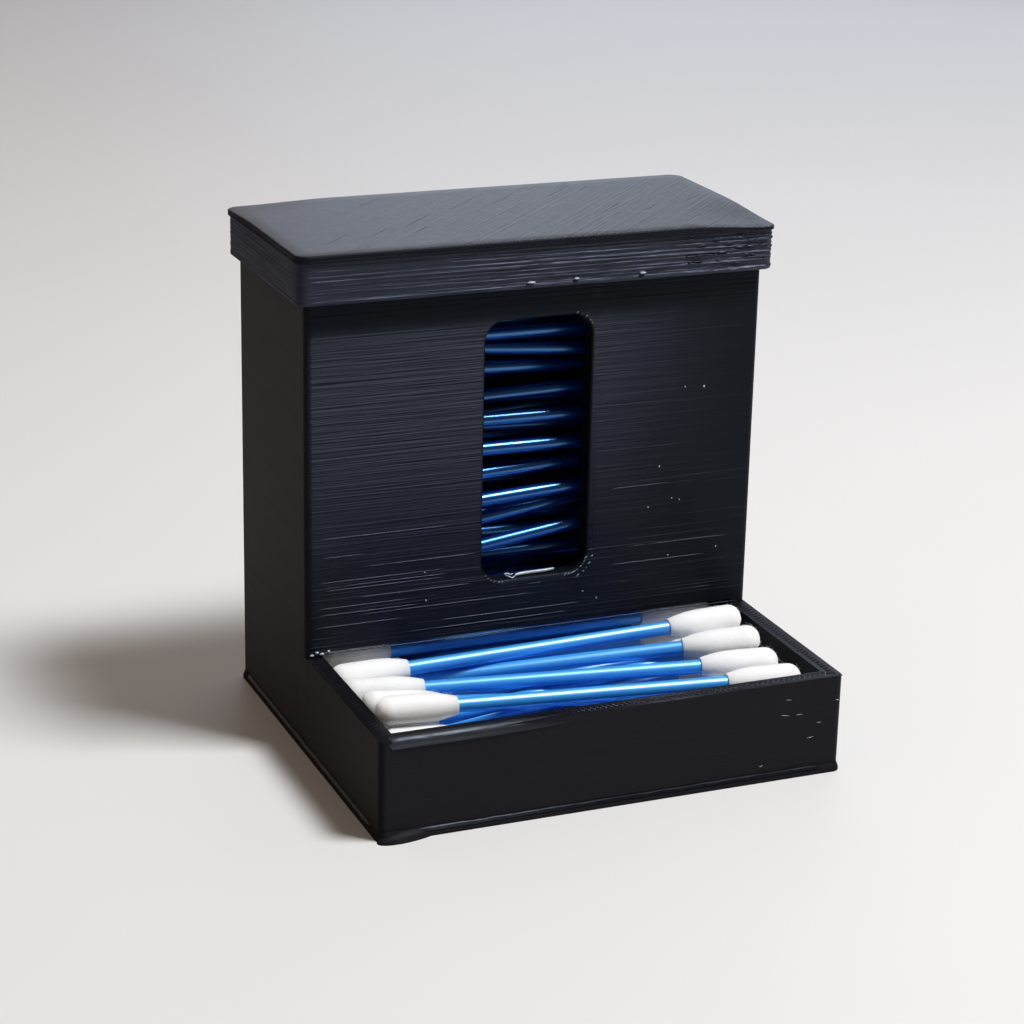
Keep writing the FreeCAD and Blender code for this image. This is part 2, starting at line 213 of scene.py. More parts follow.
def printed_layers():
    """Black PLA, printed in layers: satin, and drawn out up and down, because the
    fine layers scatter light that way.  Some layers stand out as thin lines, most
    of them low on the hopper's front, and the tray and the sides are smoother."""
    material, tree = new_material("black_pla_printed_in_layers")
    in_mm, x, y, z = place_in_mm(tree)
    hopper_front = HOPPER_FRONT / MM
    is_side = facing_share(tree, "True Normal", "X", (0.3, 0.8))
    is_level = facing_share(tree, "True Normal", "Z", (0.3, 0.7))
    not_side = map_range(tree, is_side, (0.0, 1.0), (1.0, 0.0))
    not_level = map_range(tree, is_level, (0.0, 1.0), (1.0, 0.0))
    is_hopper = map_range(tree, y, (hopper_front - 1.0, hopper_front - 0.5), (0.0, 1.0))

    # layers, drawn two or more at a time, because single 0.2 mm ones are too fine to show
    layers = stretched_noise(tree, in_mm, (0.03, 0.03, 1.9), 2.0, 0.6)
    lines = stretched_noise(tree, in_mm, (0.018, 0.018, 2.6), 1.0)
    thin_lines = map_range(tree, lines, (0.58, 0.68), (0.0, 1.0), smooth=True)
    low_down = map_range(tree, z, (26.0, 60.0), (0.060, 0.018), smooth=True)
    # most uneven towards the top left of the hopper, which a high lamp picks out; this share also
    # sets the specular level below, a painted sheen there
    uneven = combine(
        tree, "MULTIPLY",
        map_range(tree, z, (22.0, 72.0), (0.0, 1.0), smooth=True),
        map_range(tree, x, (-8.0, 42.0), (1.0, 0.0), smooth=True),
        map_range(tree, z, (72.0, 76.0), (1.0, 0.0), smooth=True),
        not_side)
    bands = combine(tree, "MULTIPLY", layers, map_range(tree, uneven, (0.0, 1.0), (0.14, 0.40)))
    proud_lines = combine(tree, "MULTIPLY", thin_lines, low_down)
    height = combine(
        tree, "MULTIPLY",
        combine(tree, "ADD", bands, proud_lines),
        map_range(tree, is_hopper, (0.0, 1.0), (0.35, 1.0)),
        map_range(tree, is_side, (0.0, 1.0), (1.0, 0.3)),
        not_level)

    # smooth at the right of the window, where the nozzle turned back
    strip_middle = WINDOW_HALF / MM + 0.7
    from_strip = combine(tree, "ABSOLUTE", combine(tree, "SUBTRACT", x, strip_middle), 0)
    smooth_strip = combine(
        tree, "MULTIPLY",
        map_range(tree, from_strip, (0.6, 0.9), (0.16, 0.0)),
        map_range(tree, z, (30.0, 32.0), (0.0, 1.0)),
        map_range(tree, y, (hopper_front + 3.5, hopper_front + 4.5), (1.0, 0.0)))
    hopper_rough = combine(
        tree, "SUBTRACT", map_range(tree, uneven, (0.0, 1.0), (0.38, 0.66)), smooth_strip)
    tray_rough, side_rough = 0.40, 0.72
    # the tray's front rim is smoother towards its left end
    rim_rough = map_range(tree, x, (-30.0, 8.0), (0.30, 0.54), smooth=True)
    front_rough = mix_numbers(tree, is_hopper, tray_rough, hopper_rough)
    upright_rough = mix_numbers(tree, is_side, front_rough, side_rough)
    patches = stretched_noise(tree, in_mm, (0.07, 0.07, 0.5), 2.0)
    patchy = map_range(tree, patches, (0.3, 0.7), (-0.03, 0.03))
    duller_foot = map_range(tree, z, (1.7, 2.3), (0.3, 0.0))
    roughness = combine(
        tree, "ADD", mix_numbers(tree, is_level, upright_rough, rim_rough), patchy, duller_foot)

    # the hopper's front gets cooler reflections than its sides and the tray: a painted tint of the
    # lamp's glint there
    painted_cool_sheen = combine(tree, "MULTIPLY", is_hopper, not_side)
    upwards = add_node(tree, "ShaderNodeCombineXYZ", {"X": 0.03, "Y": 0.03, "Z": 1.0})
    shader = add_node(tree, "ShaderNodeBsdfPrincipled", {"IOR": PLA_IOR}, {
        "Base Color": mix_colours(tree, patches, "08080a", "101014"),
        "Roughness": roughness,
        "Normal": bump(tree, height, MM),
        # specular level: a painted sheen, strongest at the top left of the hopper's front, and a
        # painted shade where it is lowest, under the cap and on the sides
        "Specular IOR Level": map_range(tree, uneven, (0.0, 1.0), (0.19, 0.68)),
        "Specular Tint": mix_colours(tree, painted_cool_sheen, NEUTRAL_SHEEN, COOL_SHEEN),
        "Anisotropic": combine(tree, "MULTIPLY", not_level, 0.85),
        "Tangent": upwards.outputs[0],
    })
    finish_material(tree, shader)
    return material


def coarse_layers():
    """Black PLA of the cap's skirt: coarse uneven layers, modelled as ridges,
    with finer streaks along them where the plastic was dragged.  The edge of the
    plate above them has weaker streaks and a lower specular level, a painted shade."""
    material, tree = new_material("black_pla_coarse_layers")
    in_mm, x, _, z = place_in_mm(tree)
    on_plate = map_range(tree, z, (HOPPER_RIM / MM, HOPPER_RIM / MM + 0.3), (0.0, 1.0))
    to_the_right = map_range(tree, x, (-34.0, 0.0), (0.0, 1.0), smooth=True)
    streaks = stretched_noise(tree, in_mm, (0.04, 0.04, 2.6), 3.0, 0.6)
    height = combine(
        tree, "MULTIPLY", streaks,
        map_range(tree, on_plate, (0.0, 1.0), (1.0, 0.25)),
        map_range(tree, to_the_right, (0.0, 1.0), (0.55, 1.0)))
    patches = stretched_noise(tree, in_mm, (0.1, 0.1, 0.4), 2.0)
    is_side = facing_share(tree, "Normal", "X", (0.3, 0.8))
    roughness = combine(
        tree, "ADD",
        map_range(tree, patches, (0.3, 0.7), (0.42, 0.56)),
        map_range(tree, is_side, (0.0, 1.0), (0.0, 0.3)),
        map_range(tree, to_the_right, (0.0, 1.0), (0.06, 0.0)))
    shader = add_node(tree, "ShaderNodeBsdfPrincipled", {
        "IOR": PLA_IOR, "Specular Tint": linear(COOL_SHEEN),
    }, {
        "Base Color": mix_colours(tree, patches, "0a0a0d", "15151a"),
        "Roughness": roughness,
        "Normal": bump(tree, height, 0.4 * MM),
        # lower specular level on the plate's edge: a painted shade
        "Specular IOR Level": map_range(tree, on_plate, (0.0, 1.0), (0.85, 0.25)),
    })
    finish_material(tree, shader)
    return material


def diagonal_lines():
    """Black PLA of the cap's top: fine diagonal lines of plastic laid side by
    side, satin, with a dark gap here and there where two of them don't meet."""
    material, tree = new_material("black_pla_diagonal_lines")
    in_mm, x, _, _ = place_in_mm(tree)
    turned = add_node(tree, "ShaderNodeMapping", {"Rotation": (0, 0, math.radians(-45))},
                      {"Vector": in_mm}).outputs[0]
    # lines, drawn somewhat wider than real 0.45 mm ones so that they show
    uneven = stretched_noise(tree, turned, (0.02, 1.7, 1.7), 2.0, 0.6)
    short = stretched_noise(tree, turned, (0.06, 1.3, 1.3), 1.0)
    ridges = combine(tree, "MULTIPLY", uneven, 0.085)
    gaps = map_range(tree, short, (0.24, 0.31), (-0.11, 0.0), smooth=True)
    clearer = map_range(tree, x, (-38.0, -8.0), (0.35, 1.0), smooth=True)
    height = combine(tree, "MULTIPLY", combine(tree, "ADD", ridges, gaps), clearer)
    mottle = stretched_noise(tree, in_mm, (0.6, 0.6, 0.6), 3.0)
    shader = add_node(tree, "ShaderNodeBsdfPrincipled", {"IOR": PLA_IOR}, {
        "Base Color": mix_colours(tree, uneven, "0c0c0f", "141418"),
        "Roughness": map_range(tree, mottle, (0.3, 0.7), (0.39, 0.42)),
        "Normal": bump(tree, height, MM),
    })
    finish_material(tree, shader)
    return material


def polypropylene(name, deep, bright, band_roughness, skin, skin_roughness, glow):
    """Azure polypropylene stem, extruded: a clear glossy skin over a plastic that
    glows azure in a band round its highlights, with faint drawn lines along it."""
    material, tree = new_material(name)
    place = add_node(tree, "ShaderNodeTexCoord")
    drawn = stretched_noise(tree, place.outputs["Object"], (20, 900, 900), 2.0)
    shader = add_node(tree, "ShaderNodeBsdfPrincipled", {
        "IOR": 2.2, "Roughness": band_roughness, "Specular IOR Level": 1.0,
        "Specular Tint": linear("00a0ff"),
        "Coat Weight": skin, "Coat Roughness": skin_roughness, "Coat IOR": 2.0,
        "Subsurface Weight": glow, "Subsurface Radius": (0.2, 0.6, 1.0),
        "Subsurface Scale": 2.5 * MM,
    }, {
        "Base Color": mix_colours(tree, drawn, deep, bright),
        "Normal": bump(tree, drawn, 0.02 * MM, 0.25),
    })
    finish_material(tree, shader)
    return material


def cotton_wool():
    """Bleached cotton wound on the stem: matt white, with soft folds and fibres."""
    material, tree = new_material("bleached_cotton_wool")
    folds = even_noise(tree, 700.0, 4.0, 0.6)
    place = add_node(tree, "ShaderNodeTexCoord")
    fibres = stretched_noise(tree, place.outputs["Object"], (900, 5000, 5000), 3.0, distortion=1.0)
    height = combine(tree, "ADD", combine(tree, "MULTIPLY", fibres, 0.35), folds)
    shader = add_node(tree, "ShaderNodeBsdfPrincipled", {
        "Roughness": 0.95, "Specular IOR Level": 0.1, "Sheen Weight": 1.0, "Sheen Roughness": 0.6,
        "Subsurface Weight": 0.8, "Subsurface Radius": (1.0, 1.0, 1.0),
        "Subsurface Scale": 1.6 * MM,
    }, {
        "Base Color": mix_colours(tree, folds, "fafbfd", "fefeff"),
        "Normal": bump(tree, height, 0.2 * MM, 0.4),
    })
    finish_material(tree, shader)
    return material


def fresh_bead():
    """Black PLA bead that nothing flattened: smoother and glossier than a wall."""
    material, tree = new_material("black_pla_bead")
    uneven = even_noise(tree, 900.0, 2.0)
    shader = add_node(tree, "ShaderNodeBsdfPrincipled", {
        "IOR": PLA_IOR, "Specular Tint": linear("d8e0ff"),
    }, {
        "Base Color": mix_colours(tree, uneven, "0b0b0e", "17171c"),
        "Roughness": map_range(tree, uneven, (0.0, 1.0), (0.2, 0.42)),
        "Normal": bump(tree, uneven, 0.05 * MM, 0.4),
    })
    finish_material(tree, shader)
    return material


def smeared_edge():
    """Black PLA smeared round by the nozzle: satin, with a painted sheen that is brightest at the
    tray's front left corner and dimmer on the first layers."""
    material, tree = new_material("black_pla_smeared_edge")
    in_mm, x, _, z = place_in_mm(tree)
    smears = stretched_noise(tree, in_mm, (0.25, 1.0, 2.5), 3.0)
    roughness = combine(
        tree, "ADD",
        map_range(tree, smears, (0.3, 0.7), (0.46, 0.56)),
        map_range(tree, z, (3.0, 5.0), (-0.04, 0.0)))
    # painted sheen: a specular level that is highest at the tray's front left corner
    painted_sheen = combine(
        tree, "MULTIPLY",
        map_range(tree, x, (-36.0, 0.0), (1.0, 0.2), smooth=True),
        map_range(tree, z, (3.0, 5.0), (0.7, 1.0)))
    shader = add_node(tree, "ShaderNodeBsdfPrincipled", {
        "IOR": PLA_IOR, "Specular Tint": linear("d8e4f8"),
    }, {
        "Base Color": mix_colours(tree, smears, "09090c", "131318"),
        "Roughness": roughness,
        "Normal": bump(tree, smears, 0.12 * MM),
        "Specular IOR Level": painted_sheen,
    })
    finish_material(tree, shader)
    return material


def glossy_grey_pla(name, deep, bright):
    """Glossy cool grey PLA: for scuffs rubbed pale, and as a painted highlight on small marks that
    catch the light.
    """
    material, tree = new_material(name)
    streaks = even_noise(tree, 1500.0, 2.0)
    shader = add_node(tree, "ShaderNodeBsdfPrincipled", {"IOR": PLA_IOR, "Roughness": 0.2}, {
        "Base Color": mix_colours(tree, streaks, deep, bright),
        "Normal": bump(tree, streaks, 0.08 * MM, 0.5),
    })
    finish_material(tree, shader)
    return material


def table_paint():
    """Pale matt table top with a hardly visible mottle."""
    material, tree = new_material("pale_table_top")
    mottle = even_noise(tree, 6.0, 3.0)
    shader = add_node(tree, "ShaderNodeBsdfPrincipled", {"Roughness": 0.6},
                      {"Base Color": mix_colours(tree, mottle, "d7d6d5", "dcdbda")})
    finish_material(tree, shader)
    return material


def dress(piece, material):
    """Give a piece one material."""
    piece.data.materials.clear()
    piece.data.materials.append(material)


# ------------------------------------------------------------------- pieces


def mesh_piece(name, shape, materials, body):
    """Smoothly shaded object made from a bmesh, riding on a body of the frame."""
    mesh = bpy.data.meshes.new(name)
    for material in materials:
        mesh.materials.append(material)
    shape.to_mesh(mesh)
    shape.free()
    mesh.shade_smooth()
    piece = bpy.data.objects.new(name, mesh)
    bpy.context.scene.collection.objects.link(piece)
    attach(piece, body)
    return piece


def swept_beads(runs, width, end=0.3):
    """Bmesh of round beads that follow runs of points; their ends are only a
    share as wide as the rest."""
    curve = bpy.data.curves.new("beads", "CURVE")
    curve.dimensions = "3D"
    curve.bevel_depth = width / 2
    curve.bevel_resolution = 2
    curve.use_fill_caps = True
    for run in runs:
        spline = curve.splines.new("POLY")
        spline.points.add(len(run) - 1)
        for point, place in zip(spline.points, run):
            point.co = (*place, 1)
        spline.points[0].radius = spline.points[-1].radius = end
    holder = bpy.data.objects.new("beads", curve)
    bpy.context.scene.collection.objects.link(holder)
    bpy.context.view_layer.update()
    graph = bpy.context.evaluated_depsgraph_get()
    mesh = bpy.data.meshes.new_from_object(holder.evaluated_get(graph))
    shape = bmesh.new()
    shape.from_mesh(mesh)
    bpy.data.objects.remove(holder)
    bpy.data.curves.remove(curve)
    bpy.data.meshes.remove(mesh)
    return shape


def flatten(shape, level, share):
    """Press a shape towards a level until it is only a share as thick."""
    bmesh.ops.translate(shape, vec=(0, 0, -level), verts=shape.verts[:])
    bmesh.ops.scale(shape, vec=(1, 1, share), verts=shape.verts[:])
    bmesh.ops.translate(shape, vec=(0, 0, level), verts=shape.verts[:])


def add_blob(shape, place, size, tilt=0.0):
    """Small rounded blob of plastic, tilted by an angle as seen from the front."""
    turn = Matrix.Rotation(-tilt, 4, "Y")
    bmesh.ops.create_icosphere(
        shape, subdivisions=2, radius=0.5,
        matrix=Matrix.Translation(place) @ turn @ Matrix.Diagonal((*size, 1)))


# ---------------------------------------------------------------------- cap

# Ridges of plastic round the skirt: height above the cap's lower edge, half
# width, and how far each stands proud, in millimetres.
RIDGES = [
    (0.45, 0.50, 0.30),
    (1.90, 0.38, 0.22),
    (2.45, 0.22, 0.16),
    (3.25, 0.34, 0.20),
    (3.90, 0.34, 0.25),
    (4.65, 0.22, 0.18),
    (5.50, 0.40, 0.22),
    (6.15, 0.34, 0.18),
]

# Blobs on the front of the skirt where the nozzle paused: place along the
# front, height above the lower edge, half width, and how far each stands proud.
BLOBS = [
    (-2.5, 1.15, 0.9, 0.22),
    (5.8, 1.20, 0.6, 0.25),
    (18.2, 1.25, 0.7, 0.40),
]
BLOB_HALF_HEIGHT = 0.45

# how far the skirt's face may lie in or out
LEAST_RELIEF, MOST_RELIEF = -0.1, 0.5


def hump(distance, half_width):
    """Smooth hump, 1 in its middle and 0 beyond its half width."""
    if abs(distance) >= half_width:
        return 0.0
    return 0.5 + 0.5 * math.cos(math.pi * distance / half_width)


def smooth_step(start, end, value):
    """0 before start, 1 after end, smooth between."""
    t = min(max((value - start) / (end - start), 0.0), 1.0)
    return t * t * (3 - 2 * t)


def skirt_relief(x, y, height):
    """How far the plastic stands out at a height above the cap's lower edge, in mm."""
    front = CAP_LOW.y / MM
    # torn at the front's right end; calmer on the sides, towards the left, and
    # most of all at the front left corner
    torn = smooth_step(27, 37, x) * smooth_step(5, -5, y)
    on_side = smooth_step(41, 43, abs(x)) * smooth_step(HOPPER_FRONT / MM, 2, y)
    at_corner = smooth_step(-40.5, -42, x) * smooth_step(front + 5, front + 1, y)
    calmer = 1.0 - 0.55 * on_side
    calmer *= 0.5 + 0.3 * smooth_step(-34, 10, x) + 0.2 * smooth_step(14, 34, x)
    calmer *= 1.0 - 0.8 * at_corner
    relief = 0.03 * noise.noise(Vector((x * 0.15, y * 0.15, height * 5)))
    for number, (middle, half_width, proud) in enumerate(RIDGES):
        wander = 0.12 * noise.noise(Vector((x * 0.09, y * 0.09, number * 7.3)))
        shape = hump(height - middle - wander, half_width)
        if shape > 0:
            fullness = 0.9 + 0.7 * noise.noise(Vector((x * 0.11, y * 0.11, number * 3.1)))
            broken = 1.2 * noise.noise(Vector((x * 0.9, y * 0.9, number * 5.7)))
            relief += shape * proud * (fullness + torn * broken) * calmer
    for middle, level, half_width, proud in BLOBS:
        if y < 0:
            relief += proud * hump(x - middle, half_width) * hump(height - level, BLOB_HALF_HEIGHT)
    return min(max(relief, LEAST_RELIEF), MOST_RELIEF)


def cap_sag(x, y):
    """How far the cap's top sinks towards its front right and back left corners, in mm."""
    front_right = math.hypot((x - 43.5) / 17.0, (y - CAP_LOW.y / MM) / 22.0)
    back_left = math.hypot((x + 43.5) / 20.0, (y - CAP_HIGH.y / MM) / 16.0)
    return 0.85 * hump(front_right, 1.0) + 0.5 * hump(back_left, 1.0)


def extrude_ring(shape, ring, spot):
    """Next ring of the cap, each of its points put where spot says."""
    made = bmesh.ops.extrude_edge_only(shape, edges=ring)["geom"]
    points = [part for part in made if isinstance(part, bmesh.types.BMVert)]
    for point in points:
        point.co = spot(point.co)
    return [part for part in made if isinstance(part, bmesh.types.BMEdge)]


def cap_outline(shape):
    """Outline of the skirt at its lower edge, finely divided, as loose edges."""
    low = Vector((CAP_LOW.x + PLATE_FLARE, CAP_LOW.y + PLATE_FLARE, CAP_LOW.z))
    high = Vector((CAP_HIGH.x - PLATE_FLARE, CAP_HIGH.y - PLATE_FLARE, CAP_LOW.z))
    bmesh.ops.create_grid(shape, x_segments=1, y_segments=1, size=0.5)
    bmesh.ops.scale(shape, vec=(high.x - low.x, high.y - low.y, 1), verts=shape.verts[:])
    bmesh.ops.translate(shape, vec=(low + high) / 2, verts=shape.verts[:])
    bmesh.ops.bevel(shape, geom=shape.verts[:], offset=SKIRT_CORNER, segments=7, profile=0.5,
                    affect="VERTICES", material=-1)
    bmesh.ops.delete(shape, geom=shape.faces[:], context="FACES_ONLY")
    for edge in list(shape.edges):
        # finer along the front, where the plate's edge is notched
        at_front = max(v.co.y for v in edge.verts) < low.y + 1e-6
        step = (0.30 if at_front else 0.8) * MM
        cuts = int(edge.calc_length() / step)
        if cuts > 1:
            bmesh.ops.subdivide_edges(shape, edges=[edge], cuts=cuts)
    return shape.edges[:]


def make_cap(skirt_material, plate_material):
    """The cap: ridged skirt, a plate with a notched edge, and a hollow underside."""
    shape = bmesh.new()
    ring = cap_outline(shape)
    core_x = CAP_HIGH.x - PLATE_FLARE - SKIRT_CORNER
    core_low = CAP_LOW.y + PLATE_FLARE + SKIRT_CORNER
    core_high = CAP_HIGH.y - PLATE_FLARE - SKIRT_CORNER
    plate_thickness = CAP_HIGH.z - HOPPER_RIM

    def put(reach_of, height):
        """Move points out to a reach from the skirt's face, at a height."""
        def spot(point):
            core = Vector((
                min(max(point.x, -core_x), core_x),
                min(max(point.y, core_low), core_high),
                0,
            ))
            outward = (Vector((point.x, point.y, 0)) - core).normalized()
            x, y = point.x / MM, point.y / MM
            place = core + outward * (SKIRT_CORNER + reach_of(x, y) * MM)
            place.z = height
            if height > HOPPER_RIM:
                share = (height - HOPPER_RIM) / plate_thickness
                place.z -= share * cap_sag(x, y) * MM
            return place
        return spot

    for vert in shape.verts:
        vert.co = put(lambda x, y: skirt_relief(x, y, 0.0), CAP_LOW.z)(vert.co)
    lower_edge = ring

    # outside of the skirt, ring by ring
    skirt_height = HOPPER_RIM - CAP_LOW.z
    rings = 54
    for number in range(1, rings + 1):
        height = skirt_height * number / rings
        ring = extrude_ring(shape, ring, put(
            lambda x, y: skirt_relief(x, y, height / MM), CAP_LOW.z + height))

    # two thick layers of the plate; the ends of the diagonal lines notch its edge
    def notches(x, y):
        if y > 0:
            return 0.0
        return 0.14 * math.sin(2 * math.pi * x / 1.2) * smooth_step(-25, -5, x)

    flare = PLATE_FLARE / MM
    # each ring's share of the plate's thickness, and its share of the flare
    layers = [
        (0.02, 0.00), (0.06, 0.80), (0.12, 0.96), (0.30, 1.00), (0.46, 0.98), (0.50, 0.80),
        (0.54, 0.80), (0.58, 0.98), (0.75, 1.00), (0.90, 1.00),
    ]
    for share, reach in layers:
        ring = extrude_ring(shape, ring, put(
            lambda x, y: flare * reach * (1 + 0.5 * notches(x, y)),
            HOPPER_RIM + plate_thickness * share))
    for share, inset in ((0.96, 0.10), (1.0, 0.32)):
        ring = extrude_ring(shape, ring, put(
            lambda x, y: flare - inset + notches(x, y),
            HOPPER_RIM + plate_thickness * share))

    # the top, cut into a grid so that it can sag
    top = bmesh.ops.contextual_create(shape, geom=ring)["faces"]
    for face in top:
        face.material_index = 1
    rim_points = dict.fromkeys(v for edge in ring for v in edge.verts)
    part = top + ring + list(rim_points)
    for axis, first, last in (
        (Vector((1, 0, 0)), CAP_LOW.x, CAP_HIGH.x),
        (Vector((0, 1, 0)), CAP_LOW.y, CAP_HIGH.y),
    ):
        strips = int((last - first) / (3.0 * MM))
        for number in range(1, strips):
            at = first + (last - first) * number / strips
            cut = bmesh.ops.bisect_plane(shape, geom=part, plane_co=axis * at, plane_no=axis)
            part = cut["geom"]
    for item in part:
        if isinstance(item, bmesh.types.BMVert):
            item.co.z = CAP_HIGH.z - cap_sag(item.co.x / MM, item.co.y / MM) * MM

    # underside: in to the skirt's inner face, up it, and across under the plate
    inner = -SKIRT_THICKNESS / MM
    ring = extrude_ring(shape, lower_edge, put(lambda x, y: inner, CAP_LOW.z))
    ring = extrude_ring(shape, ring, put(lambda x, y: inner, HOPPER_RIM))
    bmesh.ops.contextual_create(shape, geom=ring)
    bmesh.ops.recalc_face_normals(shape, faces=shape.faces[:])

    cap = mesh_piece("printed_cap", shape, [skirt_material, plate_material],
                     "lid")
    cap.data.set_sharp_from_angle(angle=math.radians(60))
    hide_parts("lid")


# --------------------------------------------------------------- small details


def make_rim(material):
    """Top layer of the tray's rim: two lines along each face of the wall, and a
    zigzag of plastic between them."""
    def around(inset):
        return [
            Vector((-SIDE + inset, HOPPER_FRONT, TRAY_RIM)),
            Vector((-SIDE + inset, TRAY_FRONT + inset, TRAY_RIM)),
            Vector((SIDE - inset, TRAY_FRONT + inset, TRAY_RIM)),
            Vector((SIDE - inset, HOPPER_FRONT, TRAY_RIM)),
        ]

    lines = [around(inset * MM) for inset in (0.30, 0.72, 2.28, 2.72)]
    zigzag = []
    step = 0.5 * MM
    side = 1
    middle = around(WALL / 2)
    for start, end in zip(middle, middle[1:]):
        run = end - start
        across = run.normalized().cross(UP) * 0.55 * MM
        for number in range(int(run.length / step)):
            zigzag.append(start + run.normalized() * step * number + across * side)
            side = -side
    shape = swept_beads(lines + [zigzag], 0.42 * MM)
    flatten(shape, TRAY_RIM, 0.4)
    # the front rim's left end was smeared flat, so the beads sink away there
    for vert in shape.verts:
        if vert.co.y < TRAY_FRONT + WALL:
            smeared = smooth_step(4, -20, vert.co.x / MM)
            vert.co.z -= 0.1 * MM * smeared
    mesh_piece("tray_rim_beads", shape, [material], "housing")


def make_smeared_edges(material):
    """The front rim's outer edge, smeared round at its left end, and the lip of
    the first layers, which were squeezed out all round the foot."""
    run = []
    for number in range(40):
        x = -SIDE / MM + 0.9 + number * 1.3
        inset = (0.80 + 0.6 * smooth_step(-26, 8, x)) * MM
        run.append(Vector((x * MM, TRAY_FRONT + inset, TRAY_RIM - inset)))
    mesh_piece("smeared_rim_edge", swept_beads([run], 2.32 * MM), [material],
               "housing")

    draw = random.Random(3)
    corners = [
        Vector((-SIDE + 2 * MM, TRAY_FRONT)), Vector((SIDE, TRAY_FRONT)), Vector((SIDE, BACK)),
        Vector((-SIDE, BACK)), Vector((-SIDE, TRAY_FRONT)),
    ]
    run = []
    for start, end in zip(corners, corners[1:]):
        steps = int((end - start).length / (2.0 * MM))
        for number in range(2, steps - 1):
            spot = start.lerp(end, number / steps)
            run.append(Vector((spot.x, spot.y, (1.22 + draw.uniform(-0.06, 0.06)) * MM)))
    mesh_piece("foot_lip", swept_beads([run], 0.84 * MM), [material],
               "housing")


def make_window_marks(material):
    """Blobs where the layers end round the window's corners; their grey is a painted glint."""
    shape = bmesh.new()
    draw = random.Random(5)
    corner_x = WINDOW_HALF - WINDOW_CORNER
    low, high = WINDOW_SILL + WINDOW_CORNER, WINDOW_TOP - WINDOW_CORNER
    # each row's middle and radius, its first and last angle, and its number and
    # size of blobs
    rows = [
        (corner_x, low, WINDOW_CORNER + 0.30 * MM, -92, -18, 9, 0.42),
        (corner_x, low, WINDOW_CORNER + 1.35 * MM, -62, -14, 5, 0.46),
        (-corner_x, low, WINDOW_CORNER + 0.25 * MM, -142, -88, 6, 0.30),
        (corner_x, high, WINDOW_CORNER + 0.50 * MM, 28, 78, 5, 0.30),
    ]
    for x, z, radius, first, last, count, size in rows:
        for number in range(count):
            share = number / (count - 1)
            angle = math.radians(first + (last - first) * share + draw.uniform(-2, 2))
            place = Vector((
                x + radius * math.cos(angle), HOPPER_FRONT, z + radius * math.sin(angle)))
            size_here = size * draw.uniform(0.5, 1.15)
            add_blob(shape, place, (
                size_here * draw.uniform(1.2, 2.4) * MM, 0.3 * MM, size_here * 0.6 * MM),
                math.radians(draw.uniform(25, 50)))
    # the blobs' grey colour is a painted glint
    mesh_piece("window_corner_blobs", shape, [material], "housing")


def make_sill_strand(material, line_material):
    """Loose strand of drawn plastic on the window's sill, folded over at its left
    end and pale as a painted highlight, and the glossy line along the sill's front edge."""
    def on_sill(x, depth, lift):
        return Vector((x * MM, HOPPER_FRONT + depth * MM, WINDOW_SILL + (0.25 + lift) * MM))

    strand = [on_sill(*place) for place in (
        (-3.1, 1.1, 0.10), (-2.0, 1.3, 0.15), (0.0, 1.4, 0.15),
        (2.4, 1.4, 0.15), (4.4, 1.5, 0.25),
    )]
    fold = [on_sill(*place) for place in (
        (-2.9, 1.1, 0.10), (-3.6, 0.5, 0.0), (-4.0, 0.2, -0.05), (-4.5, 0.7, 0.1),
        (-5.0, 1.5, 0.3), (-4.5, 1.7, 0.35), (-3.9, 1.3, 0.15), (-3.3, 1.5, 0.25),
    )]
    shape = swept_beads([strand], 0.62 * MM, end=0.7)
    thin = swept_beads([fold], 0.26 * MM)
    mesh = bpy.data.meshes.new("fold")
    thin.to_mesh(mesh)
    thin.free()
    shape.from_mesh(mesh)
    bpy.data.meshes.remove(mesh)
    # the strand's pale colour is a painted highlight
    mesh_piece("sill_strand", shape, [material], "housing")

    inset = 0.12 * MM
    ends = [Vector((x * MM, HOPPER_FRONT + inset, WINDOW_SILL - inset)) for x in (-5.8, 6.2)]
    mesh_piece("sill_front_line", swept_beads([ends], 0.2 * MM), [line_material],
               "housing")


def make_proud_layers(material):
    """Single layers that were squeezed out low on the hopper's front: thin glossy
    lines that come and go."""
    draw = random.Random(23)
    runs = []
    left = -SIDE / MM + 1.5
    # heights above the tray's rim, and where along the wall each line begins and ends
    for above, start, end in (
        (0.35, left, 41.0), (2.6, left, 8.0), (4.0, left + 1, 36.0), (6.9, left, 20.0),
        (5.3, left, -14.0), (7.5, left, -20.0), (8.7, left, 3.0), (10.1, left, -11.0),
        (10.3, 13.0, 34.0), (11.9, left + 1, -12.0), (12.5, left, -16.0),
        (13.4, left, -10.6), (13.4, 13.0, 38.0), (15.6, left, -10.6), (17.9, left, -14.0),
        (21.3, left, -12.0), (24.6, 14.0, 33.0),
    ):
        phase = draw.uniform(0, 6)
        count = int((end - start) / 2.5) + 2
        run = []
        for number in range(count):
            x = start + (end - start) * number / (count - 1)
            sunk = 0.07 + 0.03 * math.sin(phase + 0.13 * x) + 0.012 * math.sin(0.9 * x + phase)
            run.append(Vector((x * MM, HOPPER_FRONT + sunk * MM, TRAY_RIM + above * MM)))
        runs.append(run)
    mesh_piece("proud_layers", swept_beads(runs, 0.22 * MM), [material],
               "housing")


